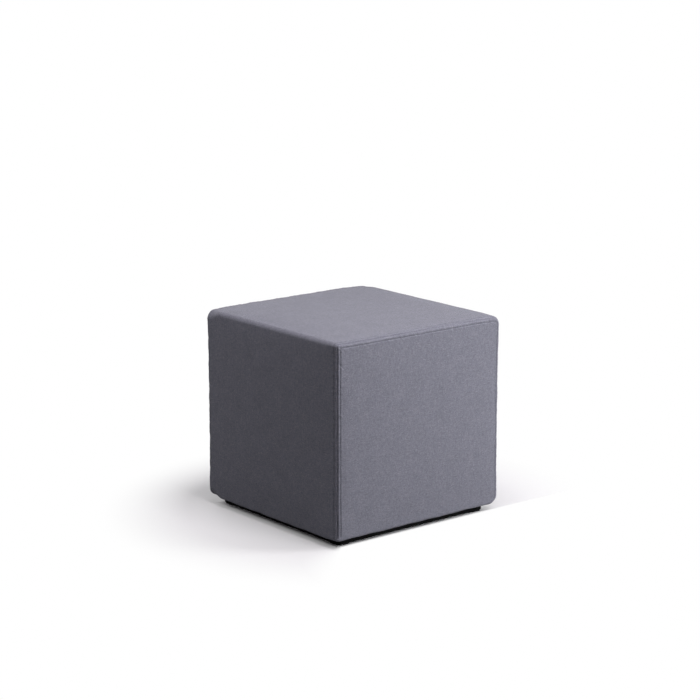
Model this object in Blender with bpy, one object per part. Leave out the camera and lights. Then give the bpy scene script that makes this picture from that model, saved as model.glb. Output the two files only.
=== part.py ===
"""Cube pouf stool: a firm filled cube in a sewn cloth cover, on a black board with four low glides.

One long cloth band runs up the left side, over the top and down the right side. A square panel is
sewn into each end of it, and both seams have a row of topstitching on either side. Metres, +Z up,
the front panel faces -Y, and the glides stand on z = 0.
"""
import math

import bmesh
import bpy

# ---- The cloth-covered cube
CUBE_WIDTH = 0.450
CUBE_DEPTH = 0.450
CUBE_HEIGHT = 0.4165
SEAM_ROUNDING = 0.0135        # radius of the seamed edges
LOWER_POWER = 6.0             # the panels' lower edges turn under more sharply than a round edge would
LEAST_RADIUS = 0.0015
SIDE_CROWN = 0.0020           # how far the filling pushes each face out
TOP_CROWN = 0.0040
PANEL_CROWN = 0.0022
CROWN_POWER = 2.5             # higher is flatter in the middle of a panel
SIDE_DRAW = 0.0015            # how far the thread draws a seam in between its corners
TOP_DRAW = 0.0004
DROOP_REACH = 0.060           # a soft corner sinks over this length of the top edge
CORNER_BLEND = 0.060          # a corner's own shape fades over this depth

# The cloth's outline across the cube, at the two panels and half-way back: radius of its top corners,
# how far each of them sinks, and radius of its lower corners.
CORNERS = {
    # place: (radius, droop, lower radius)
    "front_left": (0.0100, 0.0, 0.0080),
    "front_right": (0.0180, 0.0022, 0.0190),
    "middle_left": (0.0110, 0.0, 0.0050),
    "middle_right": (0.0170, 0.0, 0.0050),
    "back_left": (0.0230, 0.0016, 0.0140),
    "back_right": (0.0180, 0.0012, 0.0190),
}

# ---- Across a seam, from the seam line outwards over the cloth
SEAM_PATH = SEAM_ROUNDING * math.pi / 4      # the seam lies half-way round the edge
SEAM_PROFILE = (
    # distance along the cloth, height above the plain rounding
    (0.0002, -0.0013),        # lip, turned into the seam
    (0.0015, 0.0003),
    (0.0036, 0.0009),         # crest of the ridge that the seam allowance makes
    (0.0060, 0.0003),
    (0.0076, -0.0009),        # row of topstitching
    (0.0091, -0.0001),
    (SEAM_PATH, 0.0),
)
JOINT_DEPTH = 0.0062          # the flat joint behind a panel, from the end's plane
JOINT_INSET = 0.0070          # and from the cube's sides
CLEARANCE = 0.00035

# ---- Base board and glides
BOARD_DROP = 0.0150           # from the cloth's underside to the board's
BOARD_INSET = 0.0240
BOARD_CORNER = 0.009
BOARD_EDGE = 0.0012
GLIDE_SIZE = 0.034
GLIDE_CORNER = 0.008
GLIDE_HEIGHT = 0.003
GLIDE_EDGE = 0.0006
GLIDE_INSET = 0.0260

CUBE_BASE = GLIDE_HEIGHT + BOARD_DROP
CUBE_TOP = CUBE_BASE + CUBE_HEIGHT
CUBE_MIDDLE = (CUBE_BASE + CUBE_TOP) / 2

# ---- How finely the cloth's outline is divided
OUTLINE_SPANS = (
    # part of the outline, steps along it
    ("below_right", 3),
    ("bottom_right", 5),
    ("right", 10),
    ("top_right", 6),
    ("top", 11),
    ("top_left", 6),
    ("left", 10),
    ("bottom_left", 5),
    ("below_left", 3),
)
CORNER_ANGLES = {"bottom_right": -90, "top_right": 0, "top_left": 90, "bottom_left": 180}
BAND_STATIONS = (0.045, 0.085, 0.150, 0.225, 0.300, 0.365, 0.405)
PANEL_RINGS = (0.90, 0.72, 0.48, 0.22)
PLATE_CORNER_STEPS = 5

CLOTH_COLOUR = (0.206, 0.209, 0.247)
BOARD_COLOUR = (0.012, 0.012, 0.013)
GLIDE_COLOUR = (0.018, 0.018, 0.020)


def smooth(share):
    """Ease from 0 to 1 as share runs from 0 to 1."""
    share = min(max(share, 0.0), 1.0)
    return share * share * (3.0 - 2.0 * share)


def mix(first, second, share):
    return first + (second - first) * share


def outline_marks():
    """Every mark round the outline, from the middle of the underside towards the right."""
    marks = []
    for span, steps in OUTLINE_SPANS:
        for step in range(steps):
            marks.append((span, step / steps))
    return marks


MARKS = outline_marks()


def outline_point(mark, inset, left, right):
    """Place and outward direction of a mark on the outline, drawn in by inset.

    left and right are (radius, droop, lower radius) of the two sides.
    """
    span, share = mark
    half = CUBE_WIDTH / 2 - inset
    low = CUBE_BASE + inset
    high = CUBE_TOP - inset
    lower_left = max(left[2] - inset, LEAST_RADIUS)
    lower_right = max(right[2] - inset, LEAST_RADIUS)
    radius_left = max(left[0] - inset, LEAST_RADIUS)
    radius_right = max(right[0] - inset, LEAST_RADIUS)
    if span in CORNER_ANGLES:
        angle = math.radians(CORNER_ANGLES[span] + 90 * share)
        across = math.cos(angle)
        upward = math.sin(angle)
        sizes = {"top_right": radius_right, "top_left": radius_left, "bottom_left": lower_left}
        radius = sizes.get(span, lower_right)
        centre_x = (half - radius) if span.endswith("right") else (radius - half)
        centre_z = (high - radius) if span.startswith("top") else (low + radius)
        droop = {"top_right": right[1], "top_left": left[1]}.get(span, 0.0)
        return centre_x + radius * across, centre_z + radius * upward - droop, across, upward
    if span == "right":
        return half, mix(low + lower_right, high - radius_right - right[1], share), 1.0, 0.0
    if span == "left":
        return -half, mix(high - radius_left - left[1], low + lower_left, share), -1.0, 0.0
    if span == "top":
        x = mix(half - radius_right, radius_left - half, share)
        sink_right = right[1] * max(0.0, 1 - (half - radius_right - x) / DROOP_REACH) ** 2
        sink_left = left[1] * max(0.0, 1 - (x + half - radius_left) / DROOP_REACH) ** 2
        return x, high - sink_right - sink_left, 0.0, 1.0
    if span == "below_right":
        return mix(0.0, half - lower_right, share), low, 0.0, -1.0
    return mix(lower_left - half, 0.0, share), low, 0.0, -1.0


def fullness(mark):
    """1 in the middle of a side or the top, 0 at its ends and underneath."""
    span, share = mark
    if span in ("left", "right", "top"):
        return 1 - abs(2 * share - 1) ** 4
    return 0.0


def seam_side(mark):
    """1 where the seam is worked, 0 underneath, where the cloth is only turned in and fixed."""
    span, share = mark
    if span.startswith("below"):
        return 0.0
    if span == "bottom_right":
        return smooth(share)
    if span == "bottom_left":
        return smooth(1 - share)
    return 1.0


def bulge(mark, depth):
    """How far the cloth stands out from the plain cube at this depth from either end."""
    crown, draw = (TOP_CROWN, TOP_DRAW) if mark[0] == "top" else (SIDE_CROWN, SIDE_DRAW)
    middle = 1 - abs(1 - 2 * depth / CUBE_DEPTH) ** 3
    return fullness(mark) * mix(-draw, crown, middle)


def cloth_point(mark, end, path, height, corners):
    """A point of the cloth near one end, path metres over the edge from the end's flat face."""
    quarter = SEAM_ROUNDING * math.pi / 2
    angle = min(path, quarter) / SEAM_ROUNDING
    power = mix(LOWER_POWER, 2.0, seam_side(mark))
    reach = SEAM_ROUNDING * (math.sin(angle) ** power + math.cos(angle) ** power) ** (-1 / power)
    inset = SEAM_ROUNDING - reach * math.sin(angle)
    depth = SEAM_ROUNDING - reach * math.cos(angle) + max(0.0, path - quarter)
    out = bulge(mark, depth)
    x, z, across, upward = outline_point(mark, inset, *corners)
    out += height * math.sin(angle)
    draw_back = fullness(mark) * (TOP_DRAW if mark[0] == "top" else SIDE_DRAW) * math.cos(angle)
    y = end * (CUBE_DEPTH / 2 - depth - draw_back + height * math.cos(angle))
    return x + out * across, y, z + out * upward


def end_corners(end):
    side = "front" if end < 0 else "back"
    return CORNERS[side + "_left"], CORNERS[side + "_right"]


def band_ring(end, distance, height):
    """Ring of the band at this distance from the seam."""
    corners = end_corners(end)
    ring = []
    for mark in MARKS:
        rise = height * seam_side(mark)
        ring.append(cloth_point(mark, end, SEAM_PATH + distance, rise, corners))
    return ring


def panel_ring(end, distance, height):
    """Ring of a panel at this distance from the seam, ending where its flat face starts."""
    corners = end_corners(end)
    ring = []
    for mark in MARKS:
        rise = height * seam_side(mark)
        ring.append(cloth_point(mark, end, SEAM_PATH - distance, rise, corners))
    return ring


def joint_ring(end, depth, inset):
    """Flat ring behind the seam, where the panel's back meets the filling."""
    corners = end_corners(end)
    ring = []
    for mark in MARKS:
        x, z, _, _ = outline_point(mark, inset, *corners)
        ring.append((x, end * (CUBE_DEPTH / 2 - depth), z))
    return ring


def station_ring(depth):
    """Ring of the band between its two ends."""
    end = -1 if depth < CUBE_DEPTH / 2 else 1
    share = smooth(min(depth, CUBE_DEPTH - depth) / CORNER_BLEND)
    corners = []
    for corner, middle in zip(end_corners(end), (CORNERS["middle_left"], CORNERS["middle_right"])):
        corners.append([mix(value, settled, share) for value, settled in zip(corner, middle)])
    ring = []
    for mark in MARKS:
        x, z, across, upward = outline_point(mark, 0.0, *corners)
        out = bulge(mark, depth)
        ring.append((x + out * across, depth - CUBE_DEPTH / 2, z + out * upward))
    return ring


def panel_face_ring(end, share):
    """Ring of a panel's face, scaled towards its middle, with the crown of the filling."""
    face = end * CUBE_DEPTH / 2
    half_width = CUBE_WIDTH / 2 - SEAM_ROUNDING
    half_height = CUBE_HEIGHT / 2 - SEAM_ROUNDING
    ring = []
    for x, y, z in panel_ring(end, SEAM_PATH, 0.0):
        x *= share
        rise = (z - CUBE_MIDDLE) * share
        across = 1 - min(abs(x) / half_width, 1.0) ** CROWN_POWER
        upward = 1 - min(abs(rise) / half_height, 1.0) ** CROWN_POWER
        drawn = (y - face) * share ** 4
        crown = end * PANEL_CROWN * across * upward
        ring.append((x, face + drawn + crown, CUBE_MIDDLE + rise))
    return ring


def loft(name, rings, middles, material, turning=None):
    """Closed solid through rings of equal length, fanned to a middle point at each end.

    Each four-sided cell is split along one diagonal, and from the turning ring on along the other, so
    that a panel's wall and the end that it is sewn to are split alike at both ends of the band.
    """
    mesh = bmesh.new()
    rows = []
    for ring in rings:
        rows.append([mesh.verts.new(point) for point in ring])
    count = len(rows[0])
    for level, (row, following) in enumerate(zip(rows, rows[1:])):
        for i in range(count):
            j = (i + 1) % count
            if turning is None or level < turning:
                mesh.faces.new((row[i], row[j], following[j]))
                mesh.faces.new((row[i], following[j], following[i]))
            else:
                mesh.faces.new((row[i], row[j], following[i]))
                mesh.faces.new((row[j], following[j], following[i]))
    for row, middle in zip((rows[0], rows[-1]), middles):
        centre = mesh.verts.new(middle)
        for i in range(count):
            mesh.faces.new((row[i], row[(i + 1) % count], centre))
    bmesh.ops.recalc_face_normals(mesh, faces=mesh.faces)
    return add_object(name, mesh, material)


def rounded_plate(name, middle, size, heights, corner, edge, material):
    """Flat plate with round corners and softened edges; middle and size are (x, y) pairs."""
    low, high = heights
    rings = []
    for inset, z in ((edge, low), (0.0, low + edge), (0.0, high - edge), (edge, high)):
        rings.append(plate_outline(middle, size, corner, inset, z))
    loft(name, rings, ((*middle, low), (*middle, high)), material)


def plate_outline(middle, size, corner, inset, z):
    """Rectangle with round corners, drawn in by inset, at height z."""
    ring = []
    for quadrant, (side, end) in enumerate(((1, 1), (-1, 1), (-1, -1), (1, -1))):
        centre_x = middle[0] + side * (size[0] / 2 - corner)
        centre_y = middle[1] + end * (size[1] / 2 - corner)
        for step in range(PLATE_CORNER_STEPS + 1):
            angle = math.radians(90 * (quadrant + step / PLATE_CORNER_STEPS))
            x = centre_x + (corner - inset) * math.cos(angle)
            y = centre_y + (corner - inset) * math.sin(angle)
            ring.append((x, y, z))
    return ring


def add_object(name, mesh, material):
    data = bpy.data.meshes.new(name)
    mesh.to_mesh(data)
    mesh.free()
    data.shade_smooth()
    data.set_sharp_from_angle(angle=math.radians(40))
    data.materials.append(material)
    part = bpy.data.objects.new(name, data)
    bpy.context.scene.collection.objects.link(part)
    return part


def finish(name, colour, roughness, sheen=0.0):
    material = bpy.data.materials.new(name)
    material.use_nodes = True
    shader = material.node_tree.nodes["Principled BSDF"]
    shader.inputs["Base Color"].default_value = (*colour, 1.0)
    shader.inputs["Roughness"].default_value = roughness
    shader.inputs["Metallic"].default_value = 0.0
    shader.inputs["Sheen Weight"].default_value = sheen
    return material


def build_band(cloth):
    """The filled cube under its cloth band, with a flat end behind each panel."""
    joint = JOINT_DEPTH + CLEARANCE
    front = [joint_ring(-1, joint, JOINT_INSET)]
    back = [joint_ring(1, joint, JOINT_INSET)]
    for distance, height in SEAM_PROFILE:
        front.append(band_ring(-1, distance, height))
        back.append(band_ring(1, distance, height))
    stations = [station_ring(depth) for depth in BAND_STATIONS]
    rings = front + stations + back[::-1]
    reach = CUBE_DEPTH / 2 - joint
    ends = ((0, -reach, CUBE_MIDDLE), (0, reach, CUBE_MIDDLE))
    loft("cover_band", rings, ends, cloth, turning=len(rings) // 2)


def build_panel(name, end, cloth):
    """A sewn-in end panel, from its flat back over the seamed edge to its crowned face."""
    rings = [joint_ring(end, JOINT_DEPTH, JOINT_INSET + CLEARANCE)]
    for distance, height in SEAM_PROFILE:
        rings.append(panel_ring(end, distance, height))
    for share in PANEL_RINGS:
        rings.append(panel_face_ring(end, share))
    back = (0, end * (CUBE_DEPTH / 2 - JOINT_DEPTH), CUBE_MIDDLE)
    face = (0, end * (CUBE_DEPTH / 2 + PANEL_CROWN), CUBE_MIDDLE)
    loft(name, rings, (back, face), cloth)


def build_board(black):
    size = (CUBE_WIDTH - 2 * BOARD_INSET, CUBE_DEPTH - 2 * BOARD_INSET)
    heights = (GLIDE_HEIGHT, CUBE_BASE - CLEARANCE)
    rounded_plate("base_board", (0.0, 0.0), size, heights, BOARD_CORNER, BOARD_EDGE, black)


def build_glides(plastic):
    size = (GLIDE_SIZE, GLIDE_SIZE)
    heights = (0.0, GLIDE_HEIGHT - CLEARANCE)
    for place, end in (("front", -1), ("back", 1)):
        for hand, side in (("left", -1), ("right", 1)):
            x = side * (CUBE_WIDTH / 2 - GLIDE_INSET - GLIDE_SIZE / 2)
            y = end * (CUBE_DEPTH / 2 - GLIDE_INSET - GLIDE_SIZE / 2)
            name = "glide_" + place + "_" + hand
            rounded_plate(name, (x, y), size, heights, GLIDE_CORNER, GLIDE_EDGE, plastic)


def build():
    for old in list(bpy.data.objects):
        bpy.data.objects.remove(old, do_unlink=True)
    cloth = finish("heather_cloth", CLOTH_COLOUR, 0.92, sheen=0.2)
    black = finish("black_board", BOARD_COLOUR, 0.6)
    plastic = finish("black_plastic", GLIDE_COLOUR, 0.35)
    build_band(cloth)
    build_panel("front_panel", -1, cloth)
    build_panel("back_panel", 1, cloth)
    build_board(black)
    build_glides(plastic)


build()
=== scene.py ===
"""Looks of a cube pouf stool: a firm filled cube in a sewn heather cloth cover, on a low black board.

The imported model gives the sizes. Metres, +Z up. The front panel faces -Y and the glides stand on z = 0.
"""
import math

import bmesh
import bpy
import mathutils
import numpy as np
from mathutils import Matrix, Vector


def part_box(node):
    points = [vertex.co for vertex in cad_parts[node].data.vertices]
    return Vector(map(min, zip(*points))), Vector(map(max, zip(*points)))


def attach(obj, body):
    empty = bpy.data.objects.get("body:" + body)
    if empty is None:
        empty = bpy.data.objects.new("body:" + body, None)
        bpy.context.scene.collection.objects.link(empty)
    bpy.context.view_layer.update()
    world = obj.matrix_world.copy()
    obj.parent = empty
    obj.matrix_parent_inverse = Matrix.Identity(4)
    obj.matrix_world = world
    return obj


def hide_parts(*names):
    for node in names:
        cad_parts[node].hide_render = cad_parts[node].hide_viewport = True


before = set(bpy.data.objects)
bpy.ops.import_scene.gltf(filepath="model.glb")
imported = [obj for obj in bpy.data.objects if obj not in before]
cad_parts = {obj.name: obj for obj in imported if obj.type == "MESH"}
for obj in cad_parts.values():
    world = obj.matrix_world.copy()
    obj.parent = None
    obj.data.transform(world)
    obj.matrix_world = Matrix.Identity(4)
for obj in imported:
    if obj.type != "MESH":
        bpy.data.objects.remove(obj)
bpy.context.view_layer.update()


# ==== The cover band
# A firm foam cube wears one long strip of heather cloth, which runs up its left side, over the top and
# down its right side. Both long edges are sewn to the end panels, with a row of topstitching 7.6 mm
# from the seam, and the two short ends are turned under the cube and fixed beneath the board.

SIDE_CROWN = 0.0020           # how far the filling pushes the middle of a face out
TOP_CROWN = 0.0040
PANEL_CROWN = 0.0022
CROWN_AROUND = 4              # how flat a crown is, round the cube and along the band
CROWN_ALONG = 3
SIDE_DRAW = 0.0015            # how far the thread draws a seam in between its corners
TOP_DRAW = 0.0004
SEAM_ROUNDING = 0.0135        # radius of the seamed edges
LOWER_POWER = 6.0             # the panels' lower edges turn under more sharply than a round edge (2)
ROUND_POWER = 2.0
LEAST_RADIUS = 0.0030
DROOP_REACH = 0.060           # a soft corner sinks over this length of the top edge
CORNER_BLEND = 0.050          # a corner's own shape fades over this depth

band_low, band_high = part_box("cover_band")
WIDTH = band_high.x - band_low.x - 2 * SIDE_CROWN
BASE = band_low.z
TOP = band_high.z - TOP_CROWN
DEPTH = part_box("back_panel")[1].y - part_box("front_panel")[0].y - 2 * PANEL_CROWN
MIDDLE_LEVEL = (BASE + TOP) / 2

# Radius and droop of the outline's corners, in order: lower right, top right, top left, lower left.
FRONT_RADIUS = (0.0270, 0.0200, 0.0078, 0.0080)
FRONT_DROOP = (0.0, 0.0010, 0.0, 0.0)
BACK_RADIUS = (0.0190, 0.0210, 0.0220, 0.0210)
BACK_DROOP = (0.0, 0.0026, 0.0014, 0.0012)
MIDDLE_RADIUS = (0.0050, 0.0200, 0.0098, 0.0050)
CORNER_SIDE = np.array((1, 1, -1, -1))
CORNER_LEVEL = np.array((-1, 1, 1, -1))


def corner_shape(end):
    """Radius and droop of the corners at one end, -1 at the front and 1 at the back."""
    radius, droop = (FRONT_RADIUS, FRONT_DROOP) if end < 0 else (BACK_RADIUS, BACK_DROOP)
    return np.array(radius), np.array(droop)


def smooth(share):
    share = np.clip(share, 0.0, 1.0)
    return share * share * (3.0 - 2.0 * share)


def mix(first, second, share):
    return first + (second - first) * share


def bell(distance, reach):
    return np.exp(-((distance / reach) ** 2))


def round_marks(steps, half_corner):
    """Marks all round the outline, from half-way round its lower left corner.

    steps are those of the straight parts: below, right, top and left.
    """
    rows = []
    for side, count in enumerate(steps):
        before = (side - 1) % 4
        turn = 90 * (side - 1)
        for k in range(half_corner):
            rows.append((before, before, 0.0, turn - 45 + 45 * k / half_corner, side, 0))
        for k in range(count):
            rows.append((before, side, k / count, turn, side, 1))
        for k in range(half_corner):
            rows.append((side, side, 0.0, turn + 45 * k / half_corner, side, 0))
    first, second, share, angle, side, straight = np.array(rows, float).T
    from_below = np.abs((angle + 270) % 360 - 180)
    return {
        "first": first.astype(int),
        "second": second.astype(int),
        "share": share,
        "across": np.cos(np.radians(angle)),
        "upward": np.sin(np.radians(angle)),
        "top": side == 2,
        "full": straight * (side > 0) * (1 - np.abs(2 * share - 1) ** CROWN_AROUND),
        "sewn": smooth(from_below / 90),
    }


def for_all(value, marks):
    """A value, or a row of them, spread over all marks."""
    return np.broadcast_to(value, np.broadcast_shapes(np.shape(value), marks["share"].shape))


def outline(marks, inset, radius, droop):
    """Places (x, z) of marks on the cube's outline, drawn in by inset. Corners run along the last axis."""
    inset = for_all(inset, marks)[..., None]
    tight = np.maximum(radius - inset, LEAST_RADIUS)
    centre_x = CORNER_SIDE * (WIDTH / 2 - inset - tight)
    centre_z = MIDDLE_LEVEL + CORNER_LEVEL * ((TOP - BASE) / 2 - inset - tight)
    sinks = np.broadcast_to(droop, centre_x.shape)
    ends = []
    for corner in (marks["first"], marks["second"]):
        index = np.broadcast_to(corner, centre_x.shape[:-1])[..., None]
        values = (centre_x, centre_z, tight, sinks)
        ends.append([np.take_along_axis(value, index, -1)[..., 0] for value in values])
    (x1, z1, reach1, sink1), (x2, z2, reach2, sink2) = ends
    share = marks["share"]
    x = mix(x1, x2, share)
    reach = mix(reach1, reach2, share)
    near1 = np.where(marks["top"], np.clip(1 - np.abs(x - x1) / DROOP_REACH, 0, 1) ** 2, 1 - share)
    near2 = np.where(marks["top"], np.clip(1 - np.abs(x - x2) / DROOP_REACH, 0, 1) ** 2, share)
    at_corner = marks["first"] == marks["second"]
    sink = np.where(at_corner, sink1, sink1 * near1 + sink2 * near2)
    return x + reach * marks["across"], mix(z1, z2, share) + reach * marks["upward"] - sink


QUARTER = SEAM_ROUNDING * math.pi / 2
HALF_LENGTH = QUARTER + DEPTH / 2 - SEAM_ROUNDING      # over the edge, from an end's face to the middle
SEAM_PATH = QUARTER / 2                                # the seam lies half-way round the edge
BAND_REACH = HALF_LENGTH - SEAM_PATH


def seam_path(marks, wander):
    """Where the seam lies over the edge: half-way round it, or turned right under the cube."""
    return mix(QUARTER, SEAM_PATH + wander, marks["sewn"])


def skin(marks, end, path, rise=0.0, crown=1.0):
    """Points of the cloth, path metres over the edge from an end's flat face and rise above it."""
    path = for_all(path, marks)
    angle = np.clip(path, 0.0, QUARTER) / SEAM_ROUNDING
    power = mix(LOWER_POWER, ROUND_POWER, marks["sewn"])
    reach = SEAM_ROUNDING * (np.sin(angle) ** power + np.abs(np.cos(angle)) ** power) ** (-1 / power)
    inset = SEAM_ROUNDING - reach * np.sin(angle) - np.minimum(path, 0.0)
    depth = SEAM_ROUNDING - reach * np.cos(angle) + np.maximum(0.0, path - QUARTER)
    settled = smooth((depth - SEAM_ROUNDING) / (CORNER_BLEND - SEAM_ROUNDING))[..., None]
    radius, droop = corner_shape(end)
    x, z = outline(marks, inset, mix(radius, np.array(MIDDLE_RADIUS), settled), droop * (1 - settled))
    draw = np.where(marks["top"], TOP_DRAW, SIDE_DRAW)
    swell = np.where(marks["top"], TOP_CROWN, SIDE_CROWN) * crown
    middle = 1 - np.abs(1 - 2 * depth / DEPTH) ** CROWN_ALONG
    out = (marks["full"] * mix(-draw, swell, middle) + rise) * np.sin(angle)
    y = end * (DEPTH / 2 - depth + (rise - marks["full"] * draw) * np.cos(angle))
    return np.stack([x + out * marks["across"], y, z + out * marks["upward"]], -1)


def run_along(points):
    """Distance along a closed row of points from its first one."""
    steps = np.linalg.norm(np.roll(points, -1, 0) - points, axis=-1)
    return np.concatenate([[0.0], np.cumsum(steps)[:-1]])


def wave(at, lengths, seed):
    """A smooth uneven line between about -1 and 1, with these wave lengths in metres."""
    chance = np.random.default_rng(seed)
    total = 0.0
    for length in lengths:
        strength = chance.uniform(0.6, 1.0)
        total = total + strength * np.sin(2 * np.pi * (at / length + chance.random()))
    return total / math.sqrt(len(lengths))


# How the seam is worked: the cloth turns into it, swells over the seam allowance, and is pulled
# down again by the row of topstitching. Lengths run from the seam over the cloth.
LIP = 0.00015
LIP_DEPTH = 0.0006
LIP_REACH = 0.0006
RIDGE_AT = 0.0030
RIDGE_HEIGHT = 0.00110
RIDGE_REACH = 0.0027
RIDGE_CHANGE = 0.35           # the swelling is fuller in some places than in others
RIDGE_WAVES = (0.037, 0.061, 0.113)
ROW_AT = 0.0076
ROW_DEPTH = 0.00085
ROW_REACH = 0.0010
NEEDLE_DEPTH = 0.00040        # a needle hole lies this much deeper than the thread between two holes
STITCH = 0.0046
PUCKER_HEIGHT = 0.00030
PUCKER_REACH = 0.0075
PUCKER_WAVES = (0.0093, 0.0127, 0.0171, 0.0243)
WANDER = 0.0006               # a sewn line is never quite straight
WANDER_WAVES = (0.071, 0.113, 0.192)
SEEDS = {-1: 11, 1: 12}       # of the front and the back seam
HEM_WAVE = 0.0006             # the lower edge rides up and down a little
HEM_WAVES = (0.052, 0.089, 0.147)
HEM_REACH = 0.035             # and lies still from here on above it,
HEM_INSET = 0.014             # and from here on under the cube
HEM_SEED = 41


def seam_lines(marks, end, path):
    """How far the seam strays over the edge, and the lengths along it and along its topstitching."""
    along = run_along(skin(marks, end, SEAM_PATH))
    wander = WANDER * wave(along, WANDER_WAVES, SEEDS[end])
    return wander, along, run_along(skin(marks, end, path(marks, wander, ROW_AT)))


def worked_height(distance, marks, along, row_along, seed):
    """Height of the worked cloth at this distance from its seam."""
    hole = 0.5 + 0.5 * np.cos(2 * np.pi * row_along / STITCH)
    pucker = wave(along, PUCKER_WAVES, seed) * bell(distance - ROW_AT, PUCKER_REACH)
    uneven = 1 + RIDGE_CHANGE * wave(along, RIDGE_WAVES, seed + 1)
    height = -LIP_DEPTH * np.exp(-distance / LIP_REACH)
    height = height + RIDGE_HEIGHT * uneven * bell(distance - RIDGE_AT, RIDGE_REACH)
    height = height - bell(distance - ROW_AT, ROW_REACH) * (ROW_DEPTH + NEEDLE_DEPTH * hole)
    return (height + PUCKER_HEIGHT * pucker) * marks["sewn"]


# ---- The filling pushes the cover out. A coarse copy of the whole cover is blown up over twenty
# frames, and every finer surface afterwards moves as that copy did.
COARSE_STEPS = (46, 44, 46, 44)
COARSE_HALF_CORNER = 2
COARSE_ROWS = 50
FILL_START = 0.35             # share of the crown that the cut of the cover gives by itself
PRESSURE = 4.0
FILL_FRAMES = 20
FILL_QUALITY = 6
CLOTH_MASS = 0.25
STRETCH_STIFFNESS = 30.0
SHEAR_STIFFNESS = 12.0
BENDING_STIFFNESS = 4.0
SQUARELY = 0.9                # a point faces a direction when its own is this near to it


def patch(border, across):
    """Grid that fills a closed border, which starts at its lower left and has across steps below."""
    upward = len(border) // 2 - across
    below = border[: across + 1]
    right = border[across : across + upward + 1]
    above = border[across + upward : 2 * across + upward + 1][::-1]
    left = np.concatenate([border[2 * across + upward :], border[:1]])[::-1]
    u = np.linspace(0, 1, across + 1)[None, :, None]
    v = np.linspace(0, 1, upward + 1)[:, None, None]
    ruled = mix(below[None], above[None], v) + mix(left[:, None], right[:, None], u)
    return ruled - mix(mix(below[0], below[-1], u), mix(above[0], above[-1], u), v)


def patch_index(ring, across, following):
    """Point numbers of a patch whose border is the ring, with new points numbered from following."""
    upward = len(ring) // 2 - across
    index = np.zeros((upward + 1, across + 1), int)
    index[0] = ring[: across + 1]
    index[:, -1] = ring[across : across + upward + 1]
    index[-1] = ring[across + upward : 2 * across + upward + 1][::-1]
    index[1:, 0] = ring[2 * across + upward :][::-1]
    inner = index[1:-1, 1:-1]
    inner[:] = following + np.arange(inner.size).reshape(inner.shape)
    return index


def grid_faces(index, closed):
    """Four-sided faces between the rows of a table of point numbers."""
    beside = np.roll(index, -1, 1) if closed else index[:, 1:]
    here = index if closed else index[:, :-1]
    return np.stack([here[:-1], beside[:-1], beside[1:], here[1:]], -1).reshape(-1, 4)


def over_band(marks, wander, distance):
    """Path over the edge for cloth of the band, at this distance from its seam."""
    seam = seam_path(marks, wander)
    return seam + distance * (HALF_LENGTH - seam) / BAND_REACH


def face_outwards(mesh):
    """Turn every face of a closed mesh outwards."""
    closed = bmesh.new()
    closed.from_mesh(mesh)
    bmesh.ops.recalc_face_normals(closed, faces=closed.faces)
    closed.to_mesh(mesh)
    closed.free()


def coarse_cover():
    """Points and faces of the whole cover, the held points, and the point numbers of its pieces."""
    marks = round_marks(COARSE_STEPS, COARSE_HALF_CORNER)
    across = COARSE_STEPS[0] + 2 * COARSE_HALF_CORNER
    rows = []
    for row in range(COARSE_ROWS + 1):
        distance = 2 * BAND_REACH * min(row, COARSE_ROWS - row) / COARSE_ROWS
        end = -1 if row <= COARSE_ROWS // 2 else 1
        rows.append(skin(marks, end, over_band(marks, 0.0, distance), crown=FILL_START))
    points = np.concatenate(rows)
    band = np.arange(len(points)).reshape(COARSE_ROWS + 1, -1)
    panels = []
    for ring in (band[0], band[-1]):
        index = patch_index(ring, across, len(points))
        grid = patch(points[ring], across)
        points = np.concatenate([points, grid[1:-1, 1:-1].reshape(-1, 3)])
        panels.append(index)
    faces = np.concatenate([grid_faces(band, True)] + [grid_faces(index, False) for index in panels])
    held = np.zeros(len(points), bool)
    held[band[0]] = held[band[-1]] = True
    held[band[:, marks["upward"] < -SQUARELY]] = True
    return points, faces, held, band, panels, run_along(skin(marks, -1, HALF_LENGTH))


def add_object(name, data):
    """A new object in the scene."""
    made = bpy.data.objects.new(name, data)
    bpy.context.scene.collection.objects.link(made)
    return made


def blow_up(points, faces, held):
    """Let the filling's pressure work on the cover, and return how far each point moved."""
    mesh = bpy.data.meshes.new("cover_being_filled")
    mesh.from_pydata(points.tolist(), [], faces.tolist())
    face_outwards(mesh)
    cover = add_object("cover_being_filled", mesh)
    fixed = cover.vertex_groups.new(name="held")
    fixed.add(np.flatnonzero(held).tolist(), 1.0, "REPLACE")
    filling = cover.modifiers.new("filling", "CLOTH")
    fabric = filling.settings
    fabric.quality = FILL_QUALITY
    fabric.mass = CLOTH_MASS
    fabric.tension_stiffness = STRETCH_STIFFNESS
    fabric.compression_stiffness = STRETCH_STIFFNESS
    fabric.shear_stiffness = SHEAR_STIFFNESS
    fabric.bending_stiffness = BENDING_STIFFNESS
    fabric.use_pressure = True
    fabric.uniform_pressure_force = PRESSURE
    fabric.vertex_group_mass = fixed.name
    fabric.effector_weights.gravity = 0.0
    filling.point_cache.frame_start = 1
    filling.point_cache.frame_end = FILL_FRAMES
    for step in range(1, FILL_FRAMES + 1):
        bpy.context.scene.frame_set(step)
    filled = cover.evaluated_get(bpy.context.evaluated_depsgraph_get())
    moved = np.empty(3 * len(points), np.float32)
    filled.data.vertices.foreach_get("co", moved)
    outward = np.empty(3 * len(points), np.float32)
    mesh.vertex_normals.foreach_get("vector", outward)
    bpy.data.objects.remove(cover)
    bpy.data.meshes.remove(mesh)
    bpy.context.scene.frame_set(1)
    outward = outward.reshape(-1, 3)
    return held_back(np.sum((moved.reshape(-1, 3) - points) * outward, -1), outward)


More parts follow.
